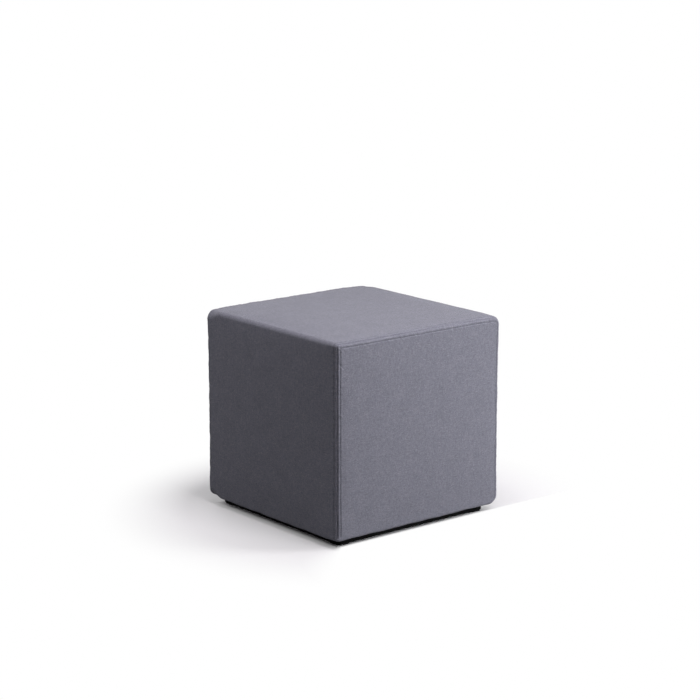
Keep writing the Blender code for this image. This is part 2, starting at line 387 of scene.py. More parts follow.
def held_back(out, outward):
    """The movement that the firm filling allows: every face rises to its own crown, and no further."""
    facing = outward**2
    highest = np.array([out[side > SQUARELY].max() for side in facing.T])
    share = (1 - FILL_START) * facing @ (np.array((SIDE_CROWN, PANEL_CROWN, TOP_CROWN)) / highest)
    return outward * (np.maximum(out, 0.0) * share)[:, None]


def spline_parts(share):
    """Weights of the four neighbours of a place in a smooth table."""
    return (
        (1 - share) ** 3 / 6,
        (3 * share**3 - 6 * share**2 + 4) / 6,
        (3 * share + 3 * share**2 - 3 * share**3 + 1) / 6,
        share**3 / 6,
    )


def read_table(table, row, column, closed):
    """Read a coarse table of movements smoothly, at places between its rows and columns."""
    first_row = np.floor(row).astype(int)
    first_column = np.floor(column).astype(int)
    total = 0.0
    for i, row_weight in enumerate(spline_parts(row - first_row)):
        r = np.clip(first_row + i - 1, 0, len(table) - 1)
        for j, column_weight in enumerate(spline_parts(column - first_column)):
            c = first_column + j - 1
            c = c % table.shape[1] if closed else np.clip(c, 0, table.shape[1] - 1)
            total = total + (row_weight * column_weight)[..., None] * table[r, c]
    return total


# ---- The band's own fine mesh: close rows along the seams, wider ones over the faces.
BAND_STEPS = (32, 416, 440, 416)
HALF_CORNER = 20
WORKED_ROWS = np.concatenate([
    (LIP, 0.0005),
    np.linspace(0.0010, 0.0062, 7),
    np.linspace(0.0067, 0.0085, 5),
    (0.0094, 0.0106, 0.0122),
])
HALF_ROWS = (0.0145, 0.0172)
FACE_STEP = 0.0050
UNEVEN = 0.00016              # the foam under the cloth is not quite flat
UNEVEN_WAVES = (0.061, 0.097, 0.143)
UNEVEN_FROM = 0.030           # but near the seams it is
FOAM_SEED = 31
TUCK_DEPTH = 0.0165           # how far in the turned-in edges of the cloth lie
TUCK_INSET = 0.0160           # and how far inside the outline
TUCK_INSET_BELOW = 0.0050
TUCK_GAP = 0.0004             # between the band's and the panel's


def new_sheet():
    """A sheet of cloth in the making: its points, the same points laid flat, and its faces."""
    return {"points": [], "flat": [], "quads": [], "triangles": [], "count": 0}


def add_points(sheet, points, flat):
    """Add a table of points and return their numbers."""
    flat = np.broadcast_to(flat, points.shape[:-1] + (2,))
    index = sheet["count"] + np.arange(points.size // 3).reshape(points.shape[:-1])
    sheet["points"].append(points.reshape(-1, 3))
    sheet["flat"].append(flat.reshape(-1, 2))
    sheet["count"] += index.size
    return index


def join_half(sheet, fine, coarse):
    """Join a closed row to the next one, which has half as many points."""
    near, between, far = fine[0::2], fine[1::2], np.roll(fine[0::2], -1)
    here, beside = coarse, np.roll(coarse, -1)
    for corners in ((near, between, here), (between, beside, here), (between, far, beside)):
        sheet["triangles"].append(np.stack(corners, -1))


def fan(sheet, ring, middle, flat):
    """Close a ring of points with triangles around a middle point."""
    centre = add_points(sheet, np.array([middle], float), np.array(flat, float))
    sheet["triangles"].append(np.stack([ring, np.roll(ring, -1), np.full(len(ring), centre[0])], -1))


def thinned(marks, every):
    return {name: values[::every] for name, values in marks.items()}


def tuck(marks, end, gap):
    """Row of the cloth's turned-in edge, behind the seam."""
    inset = mix(TUCK_INSET_BELOW, TUCK_INSET, marks["sewn"]) + gap
    x, z = outline(marks, inset, *corner_shape(end))
    return np.stack([x, np.full(x.shape, end * (DEPTH / 2 - TUCK_DEPTH + gap)), z], -1)


def hem_shift(points):
    """The lower edge rides up and down a little, only where it can be seen."""
    low = smooth(1 - (points[..., 2] - BASE) / HEM_REACH)
    inward = np.minimum(WIDTH / 2 - np.abs(points[..., 0]), DEPTH / 2 - np.abs(points[..., 1]))
    stray = wave(points[..., 0], HEM_WAVES, HEM_SEED) + wave(points[..., 1], HEM_WAVES, HEM_SEED + 1)
    moved = points.copy()
    moved[..., 2] += HEM_WAVE * stray * low * smooth(1 - inward / HEM_INSET)
    return moved


def sew_piece(name, sheet, row_length, material):
    """Make the object of a finished sheet. Where a row closes, its flat places run on past the end."""
    points = np.concatenate(sheet["points"])
    flat = np.concatenate(sheet["flat"])
    quads = np.concatenate(sheet["quads"])
    triangles = np.concatenate(sheet["triangles"])
    mesh = bpy.data.meshes.new(name)
    mesh.from_pydata(points.tolist(), [], quads.tolist() + triangles.tolist())
    face_outwards(mesh)
    corners = np.empty(len(mesh.loops), int)
    mesh.loops.foreach_get("vertex_index", corners)
    starts = np.empty(len(mesh.polygons), int)
    mesh.polygons.foreach_get("loop_start", starts)
    sizes = np.diff(np.append(starts, len(corners)))
    places = flat[corners]
    furthest = np.repeat(np.maximum.reduceat(places[:, 0], starts), sizes)
    places[:, 0] += np.where(furthest - places[:, 0] > row_length / 2, row_length, 0.0)
    mesh.uv_layers.new(name="cloth").uv.foreach_set("vector", places.astype(np.float32).ravel())
    mesh.shade_smooth()
    mesh.materials.append(material)
    return add_object(name, mesh)


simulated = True
crown_share = FILL_START if simulated else 1.0
coarse_points, coarse_faces, coarse_held, coarse_band, coarse_panels, coarse_along = coarse_cover()
movement = np.zeros(coarse_points.shape)
if simulated:
    movement = blow_up(coarse_points, coarse_faces, coarse_held)
band_marks = round_marks(BAND_STEPS, HALF_CORNER)
middle_row = skin(band_marks, -1, HALF_LENGTH)
band_along = run_along(middle_row)
round_length = band_along[-1] + np.linalg.norm(middle_row[-1] - middle_row[0])


def filled_band(points, along, over):
    """Move points of the band as the filling did. over runs from the front seam to the back one."""
    columns = np.interp(along, np.append(coarse_along, round_length), np.arange(len(coarse_along) + 1))
    rows = np.broadcast_to(over, along.shape) / (2 * BAND_REACH) * COARSE_ROWS
    return points + read_table(movement[coarse_band], rows, columns % len(coarse_along), True)


def band_row(end, distance, every):
    """One row of the band's cloth at this distance from a seam, on every so manyth mark."""
    marks = thinned(band_marks, every)
    wander, along, row_along = (values[::every] for values in seam_lines(band_marks, end, over_band))
    over = distance if end < 0 else 2 * BAND_REACH - distance
    uneven = wave(band_along[::every], UNEVEN_WAVES, FOAM_SEED) * wave(over, UNEVEN_WAVES, FOAM_SEED + 1)
    rise = worked_height(distance, marks, along, row_along, SEEDS[end])
    rise = rise + UNEVEN * uneven * smooth(distance / UNEVEN_FROM)
    points = skin(marks, end, over_band(marks, wander, distance), rise, crown_share)
    points = hem_shift(filled_band(points, band_along[::every], over))
    return points, np.stack([band_along[::every], np.full(len(points), over)], -1)


def band_side(sheet, end):
    """One half of the band, from its turned-in edge to the middle. Returns its last rows' numbers."""
    turned = tuck(band_marks, end, 0.0)
    inner = add_points(sheet, turned, np.stack([band_along, np.full(len(turned), -TUCK_DEPTH)], -1))
    fan(sheet, inner, (0, end * (DEPTH / 2 - TUCK_DEPTH), MIDDLE_LEVEL), (0, -DEPTH / 2))
    fine = [inner] + [add_points(sheet, *band_row(end, distance, 1)) for distance in WORKED_ROWS]
    half = [add_points(sheet, *band_row(end, distance, 2)) for distance in HALF_ROWS]
    count = round((BAND_REACH - HALF_ROWS[-1]) / FACE_STEP)
    distances = np.linspace(HALF_ROWS[-1], BAND_REACH, count + 1)[1:]
    if end > 0:
        distances = distances[:-1]                     # the other half already ends at the middle
    face = [add_points(sheet, *band_row(end, distance, 4)) for distance in distances]
    sheet["quads"].append(grid_faces(np.array(fine), True))
    join_half(sheet, fine[-1], half[0])
    sheet["quads"].append(grid_faces(np.array(half), True))
    join_half(sheet, half[-1], face[0])
    sheet["quads"].append(grid_faces(np.array(face), True))
    return face[-1]


# ---- The cloth: a plain weave of heather yarns. Dark and pale fibres are spun into every yarn, so its
# tone changes along it, and no two yarns are quite alike.
YARN = 0.00092                # from one yarn to the next
UNDER_DROP = 0.42             # a yarn sinks by this share of its height where another lies over it
TONE_ALONG = 0.14             # a yarn's tone changes slowly along it
TONE_APART = 3.7              # and jumps from one yarn to the next
TONE_TURNED = 9.0             # and from the upright yarns to the level ones
YARN_SHARE = 0.6              # of the whole tone, and the rest comes from flecks
FLECK_SCALE = 420.0           # blobs to the metre, here and below
FUZZ_SCALE = 5200.0
PATCH_SCALE = 170.0
BROAD_SCALE = 26.0
DARK_TONES = (0.50, 0.36)     # tones between which the dark fibres take over
PALE_TONES = (0.52, 0.66)
FIBRE_SHARE = 0.80
HOLLOW_HEIGHTS = (0.10, 0.80)
HOLLOW_PAINTED_SHADE = (0.34, 0.74)   # range and least value of the painted shade in the hollows of the weave,
BROAD_SHADE = (0.20, 0.90)    # of broad cloudy changes
PATCH_SHADE = (0.28, 0.86)    # and of small patches
ROUGH_RANGE = (0.14, 0.84)
CLOTH_COLOUR = (0.212, 0.209, 0.258)
DARK_FIBRE = (0.124, 0.124, 0.167)
PALE_FIBRE = (0.340, 0.330, 0.376)


def feed(tree, sockets, values):
    """Fill sockets by name with values, or with the outputs of other nodes."""
    for name, value in values.items():
        if isinstance(value, bpy.types.NodeSocket):
            tree.links.new(value, sockets[name])
        else:
            sockets[name].default_value = value


def put(tree, kind, inputs, **settings):
    """Add a node with its settings and fill its inputs."""
    made = tree.nodes.new(kind)
    for name, value in settings.items():
        setattr(made, name, value)
    feed(tree, made.inputs, inputs)
    return made


def calculate(tree, operation, *values):
    return put(tree, "ShaderNodeMath", dict(enumerate(values)), operation=operation).outputs[0]


def times(tree, first, second):
    return calculate(tree, "MULTIPLY", first, second)


def scaled(tree, value, by, plus):
    """value times by, plus a fixed part."""
    return calculate(tree, "MULTIPLY_ADD", value, by, plus)


def blend(tree, share, first, second, how="MIX"):
    """Mix two colours by share."""
    made = put(tree, "ShaderNodeMix", {0: share, 6: first, 7: second}, data_type="RGBA", blend_type=how)
    return made.outputs[2]


def ramp(tree, value, low, high):
    """0 below low, 1 above high, and smooth between."""
    inputs = {"Value": value, "From Min": low, "From Max": high}
    made = put(tree, "ShaderNodeMapRange", inputs, interpolation_type="SMOOTHSTEP")
    return made.outputs["Result"]


def cloudy(tree, place, scale, detail=2.0, roughness=0.5):
    """Soft noise, with about scale blobs to each unit of place."""
    inputs = {"Vector": place, "Scale": scale, "Detail": detail, "Roughness": roughness}
    return put(tree, "ShaderNodeTexNoise", inputs).outputs[0]


def vector(tree, x, y, z):
    return put(tree, "ShaderNodeCombineXYZ", {0: x, 1: y, 2: z}).outputs[0]


def shaded(tree, colour, shade):
    """A colour times a shade."""
    return blend(tree, 1.0, colour, vector(tree, shade, shade, shade), "MULTIPLY")


def new_group(name, inputs, outputs, tree_kind="ShaderNodeTree"):
    """Start a node group. inputs are (name, kind, value) and outputs are (name, kind)."""
    tree = bpy.data.node_groups.new(name, tree_kind)
    for label, kind, value in inputs:
        made = tree.interface.new_socket(label, in_out="INPUT", socket_type="NodeSocket" + kind)
        if value is not None:
            made.default_value = value
    for label, kind in outputs:
        tree.interface.new_socket(label, in_out="OUTPUT", socket_type="NodeSocket" + kind)
    return tree, tree.nodes.new("NodeGroupInput").outputs, tree.nodes.new("NodeGroupOutput").inputs


def weave_group():
    """Plain weave in the plane of Place, in metres, with painted shade in its hollows."""
    tree, given, result = new_group(
        "heather_weave",
        [
            ("Place", "Vector", None),
            ("Yarn", "Float", YARN),
            ("Colour", "Color", (*CLOTH_COLOUR, 1)),
            ("Dark Fibre", "Color", (*DARK_FIBRE, 1)),
            ("Pale Fibre", "Color", (*PALE_FIBRE, 1)),
        ],
        [("Colour", "Color"), ("Height", "Float"), ("Roughness", "Float")],
    )
    place = put(tree, "ShaderNodeSeparateXYZ", {0: given["Place"]}).outputs
    across = calculate(tree, "DIVIDE", place["X"], given["Yarn"])
    upward = calculate(tree, "DIVIDE", place["Y"], given["Yarn"])
    yarns = []
    for here, there, shift in ((across, upward, 0.5), (upward, across, 1.5)):
        number = calculate(tree, "FLOOR", here)
        bulge = calculate(tree, "SINE", times(tree, calculate(tree, "FRACT", here), math.pi))
        turn = calculate(tree, "SUBTRACT", calculate(tree, "SUBTRACT", there, shift), number)
        over = calculate(tree, "COSINE", times(tree, turn, math.pi))
        height = times(tree, bulge, scaled(tree, over, UNDER_DROP, 1 - UNDER_DROP))
        along = times(tree, there, TONE_ALONG)
        tone = cloudy(tree, vector(tree, times(tree, number, TONE_APART), along, shift * TONE_TURNED), 1.0)
        yarns.append((height, tone))
    (first_height, first_tone), (second_height, second_tone) = yarns
    on_top = calculate(tree, "GREATER_THAN", second_height, first_height)
    height = calculate(tree, "MAXIMUM", first_height, second_height)
    tone = put(tree, "ShaderNodeMix", {0: on_top, 2: first_tone, 3: second_tone}).outputs[0]
    fleck = cloudy(tree, given["Place"], FLECK_SCALE, 3.0, 0.70)
    fuzz = cloudy(tree, given["Place"], FUZZ_SCALE, 1.0)
    broad = cloudy(tree, given["Place"], BROAD_SCALE, 3.0)
    patchy = cloudy(tree, given["Place"], PATCH_SCALE, 2.0, 0.6)
    mixed = calculate(tree, "ADD", times(tree, tone, YARN_SHARE), times(tree, fleck, 1 - YARN_SHARE))
    dark = times(tree, ramp(tree, mixed, *DARK_TONES), FIBRE_SHARE)
    pale = times(tree, ramp(tree, mixed, *PALE_TONES), FIBRE_SHARE)
    colour = blend(tree, dark, given["Colour"], given["Dark Fibre"])
    colour = blend(tree, pale, colour, given["Pale Fibre"])
    # Painted shade darkens the hollows of the weave; the cloudy changes on top of it are the cloth's own
    # tone.
    painted_hollow_shade = scaled(tree, ramp(tree, height, *HOLLOW_HEIGHTS), *HOLLOW_PAINTED_SHADE)
    shade = times(tree, painted_hollow_shade, scaled(tree, broad, *BROAD_SHADE))
    shade = times(tree, shade, scaled(tree, patchy, *PATCH_SHADE))
    colour = shaded(tree, colour, shade)
    rough = scaled(tree, fleck, *ROUGH_RANGE)
    feed(tree, result, {"Colour": colour, "Roughness": rough, "Height": scaled(tree, fuzz, 0.22, height)})
    return tree


heather_weave = weave_group()


def bare_material(name):
    """A material with an empty node tree."""
    material = bpy.data.materials.new(name)
    material.use_nodes = True
    material.node_tree.nodes.clear()
    return material, material.node_tree


def start_material(name, colour):
    """A material with one Principled shader, whose view in the solid mode has this colour."""
    material, tree = bare_material(name)
    material.diffuse_color = (*colour, 1)
    shader = tree.nodes.new("ShaderNodeBsdfPrincipled")
    finish = tree.nodes.new("ShaderNodeOutputMaterial")
    tree.links.new(shader.outputs[0], finish.inputs["Surface"])
    return material, tree, shader.inputs


def relief(tree, height, depth, strength):
    """Bumps and hollows, this deep in metres where height is 1."""
    inputs = {"Height": height, "Distance": depth, "Strength": strength}
    return put(tree, "ShaderNodeBump", inputs).outputs[0]


def cloth_material():
    material, tree, shader = start_material("heather_cloth", CLOTH_COLOUR)
    place = put(tree, "ShaderNodeUVMap", {}, uv_map="cloth").outputs[0]
    inputs = {"Place": place, "Yarn": YARN, "Colour": (*CLOTH_COLOUR, 1)}
    weave = put(tree, "ShaderNodeGroup", inputs, node_tree=heather_weave).outputs
    feed(tree, shader, {
        "Base Color": weave["Colour"],
        "Roughness": weave["Roughness"],
        "Specular IOR Level": 0.28,
        "Sheen Weight": 0.10,
        "Sheen Roughness": 0.55,
        "Normal": relief(tree, weave["Height"], 0.00026, 0.55),
    })
    return material


cloth = cloth_material()
band_sheet = new_sheet()
front_edge = band_side(band_sheet, -1)
back_edge = band_side(band_sheet, 1)
band_sheet["quads"].append(grid_faces(np.array([front_edge, back_edge]), True))
cover_band = sew_piece("cover_band_cloth", band_sheet, round_length, cloth)
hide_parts("cover_band")
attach(cover_band, "root")


# ==== The end panels
# A square of the same cloth closes each end of the cube, sewn to the band right sides together, so that
# the seam lies half-way round the edge. A second row of topstitching runs 7.6 mm inside the seam. The
# lower edge turns under the cube and is fixed beneath the board.

PANEL_STEPS = (440, 416, 440, 416)
PANEL_THIN = 4                # the flat of the panel has every fourth mark
PANEL_FLATNESS = 2.5          # of its crown
FACE_BLEND = 0.010            # the round edge runs over into the flat within this length
LAST_ROW = 0.0205
PANEL_SEED = 5
PANEL_FOAM_SEEDS = (51, 54)

panel_marks = round_marks(PANEL_STEPS, HALF_CORNER)
panel_across = (PANEL_STEPS[0] + 2 * HALF_CORNER) // PANEL_THIN


def over_panel(marks, wander, distance):
    """Path over the edge for cloth of a panel, at this distance from its seam. Negative on the flat."""
    seam = seam_path(marks, wander)
    return seam * max(1 - distance / SEAM_PATH, 0.0) - max(distance - SEAM_PATH, 0.0)


def panel_face(end, x, z):
    """Depth of a panel's crowned face."""
    across = np.abs(2 * x / WIDTH)
    upward = (z - MIDDLE_LEVEL) / ((TOP - BASE) / 2)
    flatness = PANEL_FLATNESS
    swell = crown_share * PANEL_CROWN * (1 - across**flatness) * (1 - np.abs(upward) ** flatness)
    side_draw = SIDE_DRAW * across**CROWN_AROUND * (1 - upward**CROWN_AROUND)
    top_draw = TOP_DRAW * np.maximum(upward, 0) ** CROWN_AROUND * (1 - across**CROWN_AROUND)
    first_seed, second_seed = PANEL_FOAM_SEEDS
    uneven = UNEVEN * wave(x, UNEVEN_WAVES, first_seed + end) * wave(z, UNEVEN_WAVES, second_seed + end)
    return end * (DEPTH / 2 + swell - (side_draw + top_draw) + uneven)


def filled_panel(points, end):
    """Move points of a panel as the filling did."""
    index = coarse_panels[0 if end < 0 else 1]
    middle = coarse_points[index[len(index) // 2]]
    upward = coarse_points[index[:, index.shape[1] // 2]]
    columns = np.interp(points[..., 0], middle[:, 0], np.arange(len(middle)))
    rows = np.interp(points[..., 2], upward[:, 2], np.arange(len(upward)))
    return points + read_table(movement[index], rows, columns, False)


def panel_row(end, distance, every):
    """One row of a panel's cloth at this distance from its seam, on every so manyth mark."""
    marks = thinned(panel_marks, every)
    wander, along, row_along = (values[::every] for values in seam_lines(panel_marks, end, over_panel))
    path = over_panel(marks, wander, distance)
    rise = worked_height(distance, marks, along, row_along, SEEDS[end] + PANEL_SEED)
    points = skin(marks, end, path, rise, crown_share)
    face = panel_face(end, points[..., 0], points[..., 2]) + end * rise
    points[..., 1] = mix(points[..., 1], face, smooth(-path / FACE_BLEND))
    flat = np.stack(outline(marks, SEAM_ROUNDING - path, *corner_shape(end)), -1)
    return hem_shift(points), flat


def panel_sheet(end):
    sheet = new_sheet()
    turned = tuck(panel_marks, end, TUCK_GAP)
    inner = add_points(sheet, turned, turned[:, [0, 2]])
    fan(sheet, inner, (0, end * (DEPTH / 2 - TUCK_DEPTH + TUCK_GAP), MIDDLE_LEVEL), (0, MIDDLE_LEVEL))
    rows = {}
    for every, distances in ((1, WORKED_ROWS), (2, HALF_ROWS)):
        rows[every] = [inner] if every == 1 else []
        for distance in distances:
            points, flat = panel_row(end, distance, every)
            rows[every].append(add_points(sheet, filled_panel(points, end), flat))
        sheet["quads"].append(grid_faces(np.array(rows[every]), True))
    join_half(sheet, rows[1][-1], rows[2][0])
    border, flat = panel_row(end, LAST_ROW, PANEL_THIN)
    edge = add_points(sheet, filled_panel(border, end), flat)
    join_half(sheet, rows[2][-1], edge)
    index = patch_index(edge, panel_across, sheet["count"])
    grid = patch(border, panel_across)[1:-1, 1:-1]
    grid[..., 1] = panel_face(end, grid[..., 0], grid[..., 2])
    add_points(sheet, filled_panel(grid, end), grid[..., [0, 2]])
    sheet["quads"].append(grid_faces(index, False))
    return sheet


for end, node in ((-1, "front_panel"), (1, "back_panel")):
    panel = sew_piece(node + "_cloth", panel_sheet(end), math.inf, cloth)
    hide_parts(node)
    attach(panel, "root")


# ==== The topstitching
# A row of lockstitch in strong matching thread runs on each side of both seams. Every stitch rises from
# its needle hole, lies tight in the groove that it pulls into the cloth, and dives into the next hole.

THREAD = 0.00062
THREAD_LIFT = 0.30            # the thread lies this share of its thickness above the groove
STITCH_SHARE = 0.90           # the visible part of a stitch, of the distance between two holes
STITCH_ARCH = 0.00050
STITCH_TURN = 0.07            # a stitch slants by up to this angle
STITCH_TAPER = 0.15           # how thin it is at its ends, as a share of a half turn
STITCH_STEPS = 7
STITCH_SIDES = 6
THREAD_SEED = 7
THREAD_COLOUR = (0.150, 0.153, 0.185)
PLY_TWIST = 2800.0            # in radians to the metre
SEWN_LEAST = 0.55             # no stitches further down the lower corners than this


def band_points(end, distance):
    return band_row(end, distance, 1)[0]


def panel_points(end, distance):
    return filled_panel(panel_row(end, distance, 1)[0], end)


def stitch_places(row, marks, end, path):
    """Middle, direction and outward direction of each stitch in one row."""
    row_along = seam_lines(marks, end, path)[2]
    points = row(end, ROW_AT)
    across = row(end, ROW_AT + ROW_REACH) - row(end, ROW_AT - ROW_REACH)
    forward = np.roll(points, -1, 0) - np.roll(points, 1, 0)
    outward = np.cross(forward, across)
    outward *= np.sign(np.sum(outward * (points - (0, 0, MIDDLE_LEVEL)), -1))[:, None]
    wanted = (np.arange(int(row_along[-1] / STITCH)) + 0.5) * STITCH
    wanted = wanted[np.interp(wanted, row_along, marks["sewn"]) > SEWN_LEAST]
    found = []
    for values in (points, forward, outward):
        found.append(np.stack([np.interp(wanted, row_along, axis) for axis in values.T], -1))
    lengths = [1.0] + [np.linalg.norm(values, axis=-1, keepdims=True) for values in found[1:]]
    return [values / length for values, length in zip(found, lengths)]


def thread_material():
    """Twisted polyester thread: its plies show as slanting ridges, with painted shade in the grooves
    between them.
    """
    material, tree, shader = start_material("topstitch_thread", THREAD_COLOUR)
    place = put(tree, "ShaderNodeAttribute", {}, attribute_name="thread_place").outputs["Vector"]
    parts = put(tree, "ShaderNodeSeparateXYZ", {0: place}).outputs
    around = calculate(tree, "ARCTAN2", parts["Y"], parts["Z"])
    turn = scaled(tree, parts["X"], PLY_TWIST, around)
    ply = calculate(tree, "ABSOLUTE", calculate(tree, "SINE", turn))
    spot = put(tree, "ShaderNodeTexCoord", {}).outputs["Object"]
    tone = cloudy(tree, spot, FLECK_SCALE)
    light = scaled(tree, tone, 0.4, 0.8)
    # Painted shade: the grooves between the plies are darker, times the thread's own uneven tone.
    shade = times(tree, scaled(tree, ply, 0.35, 0.70), light)
    colour = shaded(tree, (*THREAD_COLOUR, 1), shade)
    feed(tree, shader, {
        "Base Color": colour,
        "Roughness": scaled(tree, tone, 0.2, 0.5),
        "Specular IOR Level": 0.35,
        "Normal": relief(tree, ply, 0.00008, 0.6),
    })
    return material


def stitch_tree():
    """One stitch, bent into a flat arch and thin at its ends, on every point of the rows."""
    sizes = [(name, "Float", None) for name in ("Length", "Thread", "Arch", "Turn")]
    inputs = [("Geometry", "Geometry", None), *sizes, ("Seed", "Int", None), ("Material", "Material", None)]
    tree, given, result = new_group("topstitching", inputs, [("Geometry", "Geometry")], "GeometryNodeTree")
    half = times(tree, given["Length"], 0.5)
    sunk = times(tree, given["Arch"], -1.0)
    ends = {
        "Resolution": STITCH_STEPS,
        "Start": vector(tree, times(tree, half, -1.0), 0.0, sunk),
        "Middle": vector(tree, 0.0, 0.0, given["Arch"]),
        "End": vector(tree, half, 0.0, sunk),
    }
    arch = put(tree, "GeometryNodeCurveQuadraticBezier", ends)
    share = tree.nodes.new("GeometryNodeSplineParameter").outputs["Factor"]
    taper = scaled(tree, share, math.pi * (1 - 2 * STITCH_TAPER), math.pi * STITCH_TAPER)
    wide = calculate(tree, "SINE", taper)
    radius = times(tree, given["Thread"], 0.5)
    circle = put(tree, "GeometryNodeCurvePrimitiveCircle", {"Resolution": STITCH_SIDES, "Radius": radius})
    round_thread = {
        "Curve": arch.outputs[0],
        "Profile Curve": circle.outputs[0],
        "Scale": wide,
        "Fill Caps": True,
    }
    stitch = put(tree, "GeometryNodeCurveToMesh", round_thread)
    local = {
        "Geometry": stitch.outputs[0],
        "Name": "thread_place",
        "Value": tree.nodes.new("GeometryNodeInputPosition").outputs[0],
    }
    marked = put(tree, "GeometryNodeStoreNamedAttribute", local, data_type="FLOAT_VECTOR")
    axes = []
    for name in ("outward", "forward"):
        read = put(tree, "GeometryNodeInputNamedAttribute", {"Name": name}, data_type="FLOAT_VECTOR")
        axes.append(read.outputs["Attribute"])
    facing = {"Primary Axis": axes[0], "Secondary Axis": axes[1]}
    turned = put(tree, "FunctionNodeAxesToRotation", facing, primary_axis="Z", secondary_axis="X")
    chance = put(tree, "FunctionNodeRandomValue", {"Seed": given["Seed"]}, data_type="FLOAT")
    chance.inputs[2].default_value = -1.0
    slant = vector(tree, 0.0, 0.0, times(tree, chance.outputs[1], given["Turn"]))
    euler = put(tree, "FunctionNodeEulerToRotation", {"Euler": slant})
    loose = {"Rotation": turned.outputs[0], "Rotate By": euler.outputs[0]}
    rotation = put(tree, "FunctionNodeRotateRotation", loose, rotation_space="LOCAL").outputs[0]
    spread = {"Points": given["Geometry"], "Instance": marked.outputs[0], "Rotation": rotation}
    placed = put(tree, "GeometryNodeInstanceOnPoints", spread)
    real = put(tree, "GeometryNodeRealizeInstances", {"Geometry": placed.outputs[0]})
    soft = put(tree, "GeometryNodeSetShadeSmooth", {"Geometry": real.outputs[0]})
    dressed = {"Geometry": soft.outputs[0], "Material": given["Material"]}
    tree.links.new(put(tree, "GeometryNodeSetMaterial", dressed).outputs[0], result["Geometry"])
    return tree


stitch_rows = []
for end in (-1, 1):
    stitch_rows.append(stitch_places(band_points, band_marks, end, over_band))
    stitch_rows.append(stitch_places(panel_points, panel_marks, end, over_panel))
middles, forwards, outwards = (np.concatenate(values) for values in zip(*stitch_rows))
holes = bpy.data.meshes.new("stitch_middles")
holes.from_pydata((middles + outwards * THREAD * THREAD_LIFT).tolist(), [], [])
for name, values in (("forward", forwards), ("outward", outwards)):
    directions = holes.attributes.new(name, "FLOAT_VECTOR", "POINT")
    directions.data.foreach_set("vector", values.astype(np.float32).ravel())
sewing = add_object("sewing", holes)
needle = sewing.modifiers.new("topstitching", "NODES")
needle.node_group = stitch_tree()
stitch_inputs = {
    "Length": STITCH * STITCH_SHARE,
    "Thread": THREAD,
    "Arch": STITCH_ARCH,
    "Turn": STITCH_TURN,
    "Seed": THREAD_SEED,
    "Material": thread_material(),
}
for socket in needle.node_group.interface.items_tree:
    if socket.name in stitch_inputs:
        needle[socket.identifier] = stitch_inputs[socket.name]
sewn_mesh = bpy.data.meshes.new_from_object(sewing.evaluated_get(bpy.context.evaluated_depsgraph_get()))
bpy.data.objects.remove(sewing)
topstitching = add_object("topstitching", sewn_mesh)
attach(topstitching, "root")


# ==== The base board
# A black painted board, 15 mm thick, set in from the cloth's edges. The cover's turned-under edges are
# fixed beneath it, and the cube stands on it.

BLACK_PAINT = (0.0035, 0.0035, 0.0040)
DUST_COLOUR = (0.150, 0.145, 0.138)
BOARD_CORNER = 0.009
BOARD_EDGE = 0.0012
CORNER_STEPS = 10
EDGE_STEPS = 4
SHARP_FROM = math.radians(50)
DRIFT_SCALE = 38.0            # blobs of dust to the metre, then specks, rubbed spots and the paint's grain
SPECK_SCALE = 1400.0
RUB_SCALE = 120.0
GRAIN_SCALE = 900.0
RUB = 0.12


def climb(side):
    """Difference in height between an edge's ends."""
    return abs(side.verts[0].co.z - side.verts[1].co.z)


def rounded_plate(name, node, corner, edge):
    """A level plate of a node's size, with round corners and softened rims."""
    low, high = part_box(node)
    made = bmesh.new()
    bmesh.ops.create_cube(made, size=1.0)
    for point in made.verts:
        point.co = [low[k] if point.co[k] < 0 else high[k] for k in range(3)]
    upright = [side for side in made.edges if climb(side) > edge]
    bmesh.ops.bevel(made, geom=upright, offset=corner, segments=CORNER_STEPS, profile=0.5, affect="EDGES")
    rims = [side for side in made.edges if climb(side) < edge / 100]
    bmesh.ops.bevel(made, geom=rims, offset=edge, segments=EDGE_STEPS, profile=0.5, affect="EDGES")
    bmesh.ops.recalc_face_normals(made, faces=made.faces)
    mesh = bpy.data.meshes.new(name)
    made.to_mesh(mesh)
    made.free()
    mesh.shade_smooth()
    mesh.set_sharp_from_angle(angle=SHARP_FROM)
    plate = add_object(name, mesh)
    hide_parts(node)
    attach(plate, "root")
    return plate


def dust_group():
    """Fine dust and rubbed spots: how much dust lies on a place, and how rough the finish is there."""
    tree, given, result = new_group(
        "settled_dust",
        [("Amount", "Float", 0.2), ("Rough", "Float", 0.5), ("Rub", "Float", 0.1)],
        [("Dust", "Float"), ("Roughness", "Float"), ("Height", "Float")],
    )
    place = put(tree, "ShaderNodeTexCoord", {}).outputs["Object"]
    drift = ramp(tree, cloudy(tree, place, DRIFT_SCALE, 4.0, 0.6), 0.42, 0.78)
    specks = ramp(tree, cloudy(tree, place, SPECK_SCALE, 1.0), 0.60, 0.74)
    dust = times(tree, scaled(tree, specks, 0.6, drift), given["Amount"])
    rubbed = times(tree, cloudy(tree, place, RUB_SCALE, 3.0), given["Rub"])
    dusty = calculate(tree, "ADD", given["Rough"], times(tree, dust, 0.5))
    rough = calculate(tree, "ADD", dusty, rubbed)
    feed(tree, result, {"Dust": dust, "Roughness": rough, "Height": cloudy(tree, place, GRAIN_SCALE, 3.0)})
    return tree


settled_dust = dust_group()


def black_material(name, colour, rough, dust_amount, depth):
    material, tree, shader = start_material(name, colour)
    inputs = {"Amount": dust_amount, "Rough": rough, "Rub": RUB}
    dust = put(tree, "ShaderNodeGroup", inputs, node_tree=settled_dust).outputs
    feed(tree, shader, {
        "Base Color": blend(tree, dust["Dust"], (*colour, 1), (*DUST_COLOUR, 1)),
        "Roughness": dust["Roughness"],
        "Specular IOR Level": 0.15,
        "Normal": relief(tree, dust["Height"], depth, 0.5),
    })
    return material


